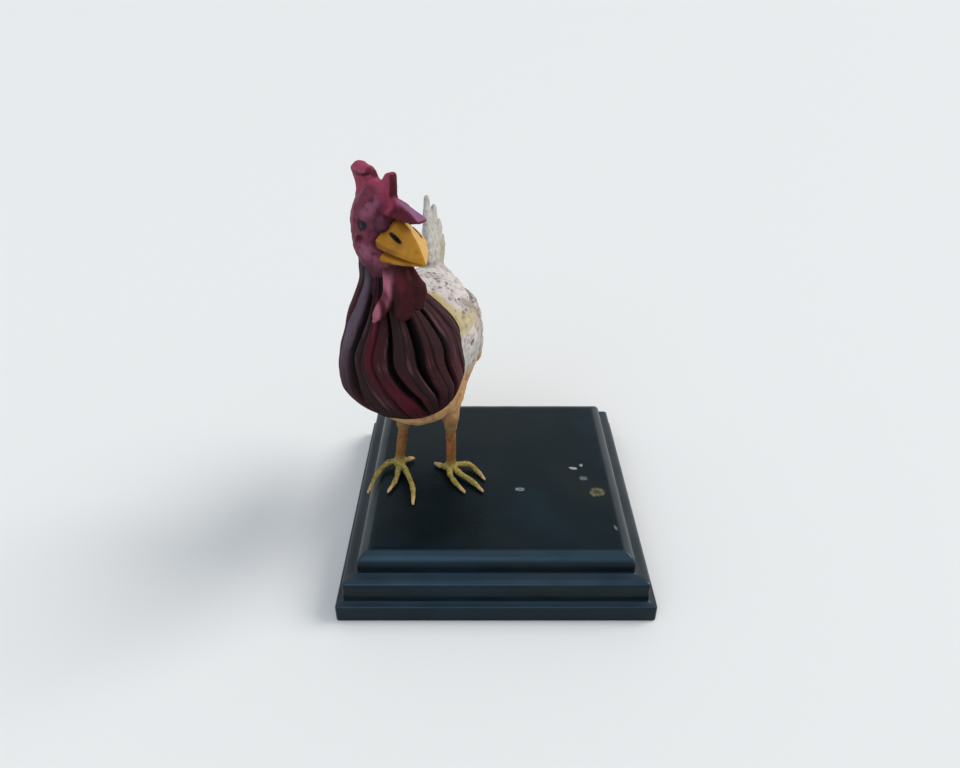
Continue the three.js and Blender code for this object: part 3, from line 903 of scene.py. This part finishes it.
def beak_coats(points, out, m):
    return (
        (BEAK_OCHRE, m.beak),
        (BEAK_BROWN, m.beak * ramp(noise(points, (1, 4, 1.5), 48), 0.0, 0.7) * 0.6),
        # a painted highlight: paler where the beak faces +X
        (BEAK_PALE_HIGHLIGHT, m.beak * ramp(out[:, 0], 0.1, 0.4) * 0.75),
    )


def shade_coats(points, crease, swept, m):
    # painted shade under the visor and over the lower face, partly the skin's own darker paint; painted
    # shade in the creases and down in the cuts of nostrils and mouth; and the eyes
    face_shade = ramp(-points[:, 1], 3.5, 7) * ramp(points[:, 2] + 4, 0, 3) + ramp(-points[:, 2], 4, 9)
    # painted shade in the creases of the skin and at the beak's root
    crease_shade = ramp(crease, 0.1, 0.5)
    cuts = np.minimum.reduce([part(points) for part, _, cut in beak() if cut])
    return (
        (SKIN_UNDER_VISOR_SHADE, np.clip(face_shade, 0, 1) * m.soft * (1 - m.comb) * (1 - m.wattle) * 0.75),
        (SKIN_CREASE_SHADE, crease_shade * m.soft * (1 - swept) * 0.7),
        (BEAK_CREASE_SHADE, crease_shade * ramp(points[:, 1], -15, -11) * m.beak * 0.6),
        # near-black painted shade down in the nostrils and the mouth's cut
        (BEAK_CUT_SHADE, m.beak * (1 - ramp(cuts, 0.06, 0.3))),
        (EYE_RING, (1 - ramp(m.to_eye, 0.3, 0.9)) * m.soft * 0.8),
        (EYE_BLUE, m.eye),
    )


def head():
    flesh = skin() + comb() + beak() + wattles() + eyes()
    points, faces, out, crease = surface(together(flesh), *HEAD_BOX, HEAD_GRAIN)
    m = head_masks(points)
    fleck, _, _ = cells(points + 0.5 * noise(points, 2, 40)[:, None], 1.5, 41)
    pebble = (1 - np.clip(fleck, 0, 1) ** 2) * (1 - 0.8 * m.comb) * (1 - 0.9 * m.wattle)
    bump = 0.3 * pebble + 0.38 * noise(points, 3.1, 42) * (1 - 0.4 * m.comb) + 0.12 * noise(points, 1.3, 43)
    grain = 0.05 * noise(points, (1.2, 3.5, 1.2), 44)
    points = points + out * (bump * m.soft + grain * m.beak)[:, None]

    middle = np.interp(points[:, 2], (-20, -14.4, -6.2), (-8.2, -4.9, -1.8))
    swept = ramp(middle - points[:, 0], -0.7, 0.5) * ramp(-points[:, 2], 7.5, 11) * m.wattle
    coats = skin_coats(points, fleck, pebble, m) + comb_coats(points, out, m)
    coats += wattle_coats(points, crease, swept, m) + beak_coats(points, out, m)
    coats += shade_coats(points, crease, swept, m)
    paint = painted(SKIN_MAROON, points, coats)
    gloss = 0.35 + 0.15 * m.beak + 0.15 * m.wattle + 0.15 * noise(points, 3, 49)
    gloss = gloss + (0.95 - gloss) * m.eye

    a = radians(HEAD_YAW_DEG)
    x, y, z = points.T
    placed = np.stack([x * cos(a) - y * sin(a), x * sin(a) + y * cos(a), z], 1) + np.array(HEAD_CENTRE)
    return placed, faces, paint, np.clip(gloss, 0, 1)


# Each leg: thigh, shin and ankle, and the toes, the last of which points back.
LEGS = (
    ((-4.8, 3, 29), (-6.5, 0.8, 16), (-8.4, -0.6), (
        ((-11.8, -1.8, 1.9), (-13.8, -7, 1.1), (-14.1, -15.2, 0.6)),
        ((-7.6, -5, 1.6), (-7.4, -9, 1.1), (-8.2, -14, 0.7)),
        ((-5.2, -4.4, 1.8), (-1.2, -11, 1), (0.7, -17.8, 0.7)),
        ((-6.6, 2, 1.2), (-4.9, 3.6, 0.8)),
    )),
    ((7.4, 4, 31), (8.3, 0.8, 17), (8.2, 0.4), (
        ((13, 2.6, 1.8), (16.4, 0.8, 1.1), (19.5, -2.4, 0.7)),
        ((11, -1.8, 1.7), (16, -4.6, 1.1), (20, -8.1, 0.7)),
        ((8.4, -2.4, 1.5), (10.4, -5.4, 1.1), (14.7, -9.6, 0.7)),
        ((5.2, 1, 1.1), (2.4, 2.3, 0.8)),
    )),
)
LEG_RADIUS = 1.5
TOE_RADIUS = 1.08
THINNEST_TOE = 0.3
ANKLE_HEIGHT = 2.2
LEGS_BOX = ((-17, -21, -0.6), (23, 8, 30))
LEGS_GRAIN = 0.24

TOE_OLIVE = (150, 132, 62)
SHANK_OCHRE = (128, 86, 32)
KNEE_TAN = (150, 104, 62)
SCALE_RED = (108, 58, 34)
SCALE_EDGE = (92, 66, 26)
TOE_PALE = (178, 164, 96)
CLAW_PINK = (190, 148, 106)
SHANK_RUST = (168, 84, 44)
LEG_CREASE_SHADE = (66, 46, 20)


def legs_form(axes):
    # both legs and their feet, cut off flat at the soles
    parts = []
    s = np.linspace(0, 1, 16)
    shank = LEG_RADIUS * (1 + 0.9 * np.maximum(0, 1 - s / 0.5) ** 2 + 0.15 * (1 - s))
    toe = TOE_RADIUS * (1 - 0.42 * s) * np.minimum(1, 2.6 * np.sqrt(1.04 - s)) + 0.09 * np.cos(6 * pi * s)
    toe = np.maximum(toe, THINNEST_TOE)
    for thigh, shin, (x, y), toes in LEGS:
        ankle = (x, y, ANKLE_HEIGHT)
        parts.append((tube([thigh, shin, ankle], shank, n=16), 0.3, False))
        parts.append((egg((x, y, 1.9), (2, 1.9, 1.8)), 0.8, False))
        parts += [(tube([ankle, *way], toe, n=14), 0.45, False) for way in toes]
    return np.maximum(together(parts)(axes), -axes[2][None, None, :])


def leg_paint(points, edge, name, crease):
    up = points[:, 2]
    tips = np.array([way[-1] for _, _, _, toes in LEGS for way in toes])
    to_tip = np.min([np.linalg.norm(points - tip, axis=1) for tip in tips], axis=0)
    scales = ramp(name, 0.62, 0.7) * ramp(edge, 0.05, 0.3) * ramp(up, 3, 9)
    return painted(TOE_OLIVE, points, (
        (SHANK_OCHRE, ramp(up, 2.5, 6)),
        (KNEE_TAN, ramp(up, 14, 20)),
        (SCALE_RED, scales * 0.8),
        (SCALE_EDGE, (1 - ramp(edge, 0.02, 0.2)) * 0.6),
        (TOE_PALE, ramp(noise(points, 3, 54), 0.2, 0.7) * (1 - ramp(up, 2, 4)) * 0.6),
        (CLAW_PINK, (1 - ramp(to_tip + noise(points, 2, 56), 1.2, 3.6)) * 0.75),
        (SHANK_RUST, ramp(noise(points, (2, 2, 5), 57), 0.25, 0.7) * ramp(up, 3, 8) * 0.6),
        # painted shade in the creases between toes and legs
        (LEG_CREASE_SHADE, ramp(crease, 0.1, 0.5) * 0.7),
    ))


def legs():
    points, faces, out, crease = surface(legs_form, *LEGS_BOX, LEGS_GRAIN)
    fleck, gap, name = cells(points, (1.3, 1.3, 0.9), 51)
    edge = gap - fleck
    free = ramp(points[:, 2], 0.05, 0.4)
    relief = 0.09 * ramp(edge, 0, 0.4) + 0.08 * noise(points, 1.6, 52)
    relief = relief + 0.03 * noise(points, 0.6, 53) - 0.08
    points = points + out * (relief * free)[:, None]
    points[:, 2] = np.maximum(points[:, 2], 0)
    gloss = np.clip(0.4 + 0.2 * noise(points, 2, 55), 0, 1)
    return points, faces, leg_paint(points, edge, name, crease), gloss


# The plinth: three square tiers cut from one block, the upper two with a rounded top edge.
PLINTH_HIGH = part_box("plinth")[1]
BASE_TIER = 9.2 * MM
BASE_ARRIS = 0.8 * MM
MIDDLE_STEP, MIDDLE_TIER, MIDDLE_ROUND, MIDDLE_DROP = 3.6 * MM, 11.7 * MM, 3.4 * MM, 1.7 * MM
TOP_STEP, TOP_TIER, TOP_ROUND, TOP_DROP = 6.6 * MM, 10.2 * MM, 7.2 * MM, 5.4 * MM
CORNER = 1.3 * MM
INNER_CORNER = (0.25 * MM, 0.3 * MM)
SIDE_STEPS = 150
CORNER_STEPS = 6
ROUND_STEPS = 9
TOP_RINGS = 100

LACQUER_BLACK = (9, 17, 21)
LACQUER_BROWN = (24, 25, 22)
LACQUER_BLUE = (14, 30, 40)
FACE_DUST = (48, 50, 50)
LEDGE_DUST_AND_REFLECTION = (44, 58, 69)
SIDE_DUST_AND_REFLECTION = (64, 67, 69)

# What stuck to the top, in millimetres: its place, half its breadth, its paint and if it is a ring.
MARKS = (
    ((52.4, -19.0), (3.8, 3.2), (118, 108, 72), True),
    ((42.2, 0.5), (2.0, 1.1), (176, 178, 176), False),
    ((46.8, 3.1), (1.0, 1.3), (160, 162, 160), False),
    ((46.6, -7.8), (2.2, 1.5), (104, 106, 108), False),
    ((13.1, -16.7), (2.2, 1.6), (150, 154, 154), True),
    ((58.0, -44.8), (0.9, 1.4), (140, 128, 112), False),
)


def plinth_profile():
    # the outline from under the base to the middle of the top: half width and height
    base = PLINTH_HIGH.x
    middle = base - MIDDLE_STEP
    top = middle - TOP_STEP
    shelf = BASE_TIER + MIDDLE_TIER
    inset, lift = INNER_CORNER
    turns = np.linspace(0, pi / 2, ROUND_STEPS)
    line = [(base * k, 0.0) for k in (0.2, 0.6, 0.95)]
    line += [(base - BASE_ARRIS * (1 - sin(a)), BASE_ARRIS * (1 - cos(a))) for a in turns]
    line += [(base - BASE_ARRIS * (1 - cos(a)), BASE_TIER - BASE_ARRIS * (1 - sin(a))) for a in turns]
    line += [(middle + inset, BASE_TIER), (middle, BASE_TIER + lift)]
    line += [(middle, BASE_TIER + k * MM) for k in (2, 5, 8)]
    line += [(middle - MIDDLE_ROUND * (1 - cos(a)), shelf - MIDDLE_DROP * (1 - sin(a))) for a in turns]
    line += [(top + inset, shelf), (top, shelf + lift), (top, shelf + 2.2 * MM)]
    line += [(top - TOP_ROUND * (1 - cos(a)), shelf + TOP_TIER - TOP_DROP * (1 - sin(a))) for a in turns]
    face = top - TOP_ROUND
    line += [(face * k, PLINTH_HIGH.z) for k in np.linspace(0.99, 0.01, TOP_RINGS)]
    return np.array(line)


def square_ring(half, z):
    # a square with rounded corners, walked round once
    corner = min(CORNER, half * 0.5)
    straight = np.linspace(-1, 1, SIDE_STEPS) * (half - corner)
    side = [(half, y) for y in straight]
    bend = np.linspace(0, pi / 2, CORNER_STEPS + 2)[1:-1]
    side += [(half - corner + corner * cos(a), half - corner + corner * sin(a)) for a in bend]
    x, y = np.array(side).T
    quarters = (0, pi / 2, pi, 1.5 * pi)
    ring = np.vstack([np.stack([x * cos(a) - y * sin(a), x * sin(a) + y * cos(a)], 1) for a in quarters])
    return np.column_stack([ring, np.full(len(ring), z)])


def add_marks(points, paint, gloss):
    # dried drops and a ring of glue, with ragged edges
    top = ramp(points[:, 2], PLINTH_HIGH.z - 2 * MM, PLINTH_HIGH.z - 1 * MM)
    ragged = 0.3 * noise(points, 1.1 * MM, 65) + 0.2 * noise(points, 0.6 * MM, 66)
    for (x, y), (half_x, half_y), shade, is_ring in MARKS:
        reach = np.hypot((points[:, 0] / MM - x) / half_x, (points[:, 1] / MM - y) / half_y) + ragged
        share = 1 - ramp(reach, 0.8, 1.05)
        if is_ring:
            share = share * (0.35 + 0.65 * ramp(reach, 0.45, 0.7))
        paint = over(paint, colour(*shade), share * top * 0.75)
        gloss = gloss - 0.45 * share * top
    return paint, gloss


def plinth_paint(points, out):
    slanted = points @ np.array([(0.8, -0.6, 0), (0.6, 0.8, 0), (0, 0, 1)])
    cloud = noise(slanted, (30 * MM, 44 * MM, 30 * MM), 63) + 0.6 * noise(points, 17 * MM, 67)
    dust = ramp(noise(slanted, (14 * MM, 9 * MM, 3 * MM), 68), -0.5, 0.9) * (1 - ramp(out[:, 2], 0.2, 0.6))
    on_top = ramp(points[:, 2], PLINTH_HIGH.z - 0.45 * MM, PLINTH_HIGH.z - 0.15 * MM)
    # painted reflection of the room on the upward ledges (bluish) and the sides (grey), with a thin film of
    # dust
    settled_dust_and_reflection = ramp(out[:, 2], 0.3, 0.62) * (1 - on_top) * (0.7 + 0.14 * noise(slanted, 11 * MM, 70))
    beside = ramp(np.abs(points[:, 0]) - np.abs(points[:, 1]), -1 * MM, 1 * MM)
    paint = painted(LACQUER_BLACK, points, (
        (LACQUER_BROWN, ramp(cloud, 0.0, 1.2) * 0.6),
        (LACQUER_BLUE, ramp(-cloud + 0.4 * noise(slanted, 8 * MM, 69), 0.1, 1.3) * 0.5),
        (FACE_DUST, dust * 0.08),
        (LEDGE_DUST_AND_REFLECTION, settled_dust_and_reflection * (1 - beside)),
        (SIDE_DUST_AND_REFLECTION, settled_dust_and_reflection * beside),
    ))
    gloss = 0.75 + 0.2 * noise(points, 14 * MM, 64) - 0.2 * dust
    return add_marks(points, paint, gloss)


def plinth():
    rings = np.array([square_ring(half, z) for half, z in plinth_profile()])
    rows, columns = rings.shape[:2]
    points = rings.reshape(-1, 3)
    quads = grid_quads(rows, columns)
    faces = [tuple(q) for q in quads]
    faces.append(tuple(range(columns))[::-1])
    faces.append(tuple(range((rows - 1) * columns, rows * columns)))
    out = normals(points, quads)
    free = ramp(points[:, 2], 0.5 * MM, 3 * MM)
    wavy = 0.03 * MM * noise(points, 9 * MM, 61) + 0.012 * MM * noise(points, 2.5 * MM, 62) - 0.042 * MM
    points = points + out * (wavy * free)[:, None]
    paint, gloss = plinth_paint(points, out)
    return points, faces, paint, np.clip(gloss, 0, 1)


# Materials. Each takes its colour and its gloss from the mesh, with a fine grain of its own.
COAT_ROUGHNESS = 0.12
MOTTLE_SCALE = 420.0
SMEAR_SCALE = 90.0
SMEAR_SHARE = 0.16
WHITE_SHEEN = (1, 1, 1, 1)
LACQUER_SHEEN = (0.42, 0.8, 1.0, 1)
# Each material: sizes and strengths of its grain, how deep that is, its roughness where dull and
# where glossy, its shine, its coat, how much its colour varies, and the tint of what it mirrors.
MATERIALS = {
    "hackle_paint": (((900, 0.35), (2600, 0.2)), 0.0006, (0.75, 0.45), 0.13, 0.0, 0.14, WHITE_SHEEN),
    "plumage_paint": (((800, 0.5), (2400, 0.3)), 0.0006, (0.85, 0.6), 0.4, 0.0, 0.14, WHITE_SHEEN),
    "head_paint": (((1000, 0.4), (3000, 0.2)), 0.0005, (0.75, 0.3), 0.2, 0.0, 0.12, WHITE_SHEEN),
    "leg_paint": (((1100, 0.4), (3000, 0.25)), 0.0005, (0.75, 0.4), 0.4, 0.0, 0.15, WHITE_SHEEN),
    "lacquer": (((160, 0.12), (1800, 0.02)), 0.0004, (0.5, 0.16), 0.2, 0.06, 0.03, LACQUER_SHEEN),
}


def add_node(tree, kind, **inputs):
    made = tree.nodes.new(kind)
    for key, value in inputs.items():
        made.inputs[key.replace("_", " ")].default_value = value
    return made


def read_attribute(tree, name):
    made = tree.nodes.new("ShaderNodeAttribute")
    made.attribute_name = name
    return made


def join(tree, source, output, target, socket):
    tree.links.new(source.outputs[output], target.inputs[socket])


def colour_nodes(tree, place, shader, vary):
    mottle = add_node(tree, "ShaderNodeTexNoise", Scale=MOTTLE_SCALE, Detail=6.0, Roughness=0.65)
    join(tree, place, "Object", mottle, "Vector")
    least, most = 1 - vary, 1 + vary
    shift = add_node(tree, "ShaderNodeMapRange", From_Min=0.3, From_Max=0.7, To_Min=least, To_Max=most)
    join(tree, mottle, "Fac", shift, "Value")
    tint = add_node(tree, "ShaderNodeVectorMath")
    tint.operation = "SCALE"
    join(tree, read_attribute(tree, "paint"), "Color", tint, 0)
    join(tree, shift, "Result", tint, "Scale")
    join(tree, tint, "Vector", shader, "Base Color")


def roughness_nodes(tree, place, shader, dull, glossy):
    level = add_node(tree, "ShaderNodeMapRange", From_Min=0.0, From_Max=1.0, To_Min=dull, To_Max=glossy)
    join(tree, read_attribute(tree, "gloss"), "Fac", level, "Value")
    smear = add_node(tree, "ShaderNodeTexNoise", Scale=SMEAR_SCALE, Detail=4.0)
    join(tree, place, "Object", smear, "Vector")
    mixed = add_node(tree, "ShaderNodeMath")
    mixed.operation = "MULTIPLY_ADD"
    mixed.inputs[1].default_value = SMEAR_SHARE
    join(tree, smear, "Fac", mixed, 0)
    join(tree, level, "Result", mixed, 2)
    join(tree, mixed, "Value", shader, "Roughness")


def grain_nodes(tree, place, shader, grains, depth):
    last = None
    for scale, strength in grains:
        grain = add_node(tree, "ShaderNodeTexNoise", Scale=scale, Detail=3.0)
        join(tree, place, "Object", grain, "Vector")
        bump = add_node(tree, "ShaderNodeBump", Strength=strength, Distance=depth)
        join(tree, grain, "Fac", bump, "Height")
        if last:
            join(tree, last, "Normal", bump, "Normal")
        last = bump
    join(tree, last, "Normal", shader, "Normal")


def make_material(name):
    grains, depth, (dull, glossy), shine, coat, vary, sheen = MATERIALS[name]
    material = bpy.data.materials.new(name)
    material.use_nodes = True
    tree = material.node_tree
    shader = tree.nodes["Principled BSDF"]
    shader.inputs["Coat Weight"].default_value = coat
    shader.inputs["Coat Roughness"].default_value = COAT_ROUGHNESS
    shader.inputs["Specular IOR Level"].default_value = shine
    shader.inputs["Specular Tint"].default_value = sheen
    place = tree.nodes.new("ShaderNodeTexCoord")
    colour_nodes(tree, place, shader, vary)
    roughness_nodes(tree, place, shader, dull, glossy)
    grain_nodes(tree, place, shader, grains, depth)
    return material


# The camera, the floor and the lights.
def make_camera():
    camera = bpy.data.objects.new("camera", bpy.data.cameras.new("camera"))
    camera.location = CAMERA_AT
    camera.rotation_euler = (radians(90 - CAMERA_DOWN_DEG), 0, 0)
    camera.data.lens = CAMERA_LENS
    camera.data.clip_start = CAMERA_NEAR
    bpy.context.scene.collection.objects.link(camera)
    bpy.context.scene.camera = camera


def make_floor():
    mesh = bpy.data.meshes.new("floor")
    corners = [(x * FLOOR_HALF, y * FLOOR_HALF, 0) for x, y in ((-1, -1), (1, -1), (1, 1), (-1, 1))]
    mesh.from_pydata(corners, [], [(0, 1, 2, 3)])
    material = bpy.data.materials.new("floor")
    material.use_nodes = True
    shader = material.node_tree.nodes["Principled BSDF"]
    shader.inputs["Base Color"].default_value = FLOOR_COLOUR
    shader.inputs["Roughness"].default_value = FLOOR_ROUGHNESS
    mesh.materials.append(material)
    floor = bpy.data.objects.new("floor", mesh)
    bpy.context.scene.collection.objects.link(floor)


def make_lamp(name, place, strength, spread_deg, tint):
    # a far lamp, so that the floor is lit alike all over
    light = bpy.data.lights.new(name, "SUN")
    light.angle = radians(spread_deg)
    light.energy = strength
    light.color = tint
    holder = bpy.data.objects.new(name, light)
    holder.rotation_euler = (-Vector(place)).to_track_quat("-Z", "Y").to_euler()
    bpy.context.scene.collection.objects.link(holder)


def make_lights():
    world = bpy.data.worlds.new("world")
    world.use_nodes = True
    background = world.node_tree.nodes["Background"]
    background.inputs["Color"].default_value = WORLD_COLOUR
    background.inputs["Strength"].default_value = WORLD_STRENGTH
    bpy.context.scene.world = world
    for name, lamp in LAMPS.items():
        make_lamp(name, *lamp)
    bpy.context.scene.view_settings.view_transform = "Standard"


for name, build, paint_name in (
    ("hen_plumage", plumage, "plumage_paint"),
    ("hen_hackle", hackle, "hackle_paint"),
    ("hen_head", head, "head_paint"),
    ("hen_legs", legs, "leg_paint"),
):
    points, faces, paint, gloss = build()
    material = make_material(paint_name)
    make_piece(name, in_world(points), faces, paint, gloss, material, "hen")
points, faces, paint, gloss = plinth()
lacquer = make_material("lacquer")
make_piece("plinth_block", points, faces, paint, gloss, lacquer, "plinth")

make_camera()
make_floor()
make_lights()
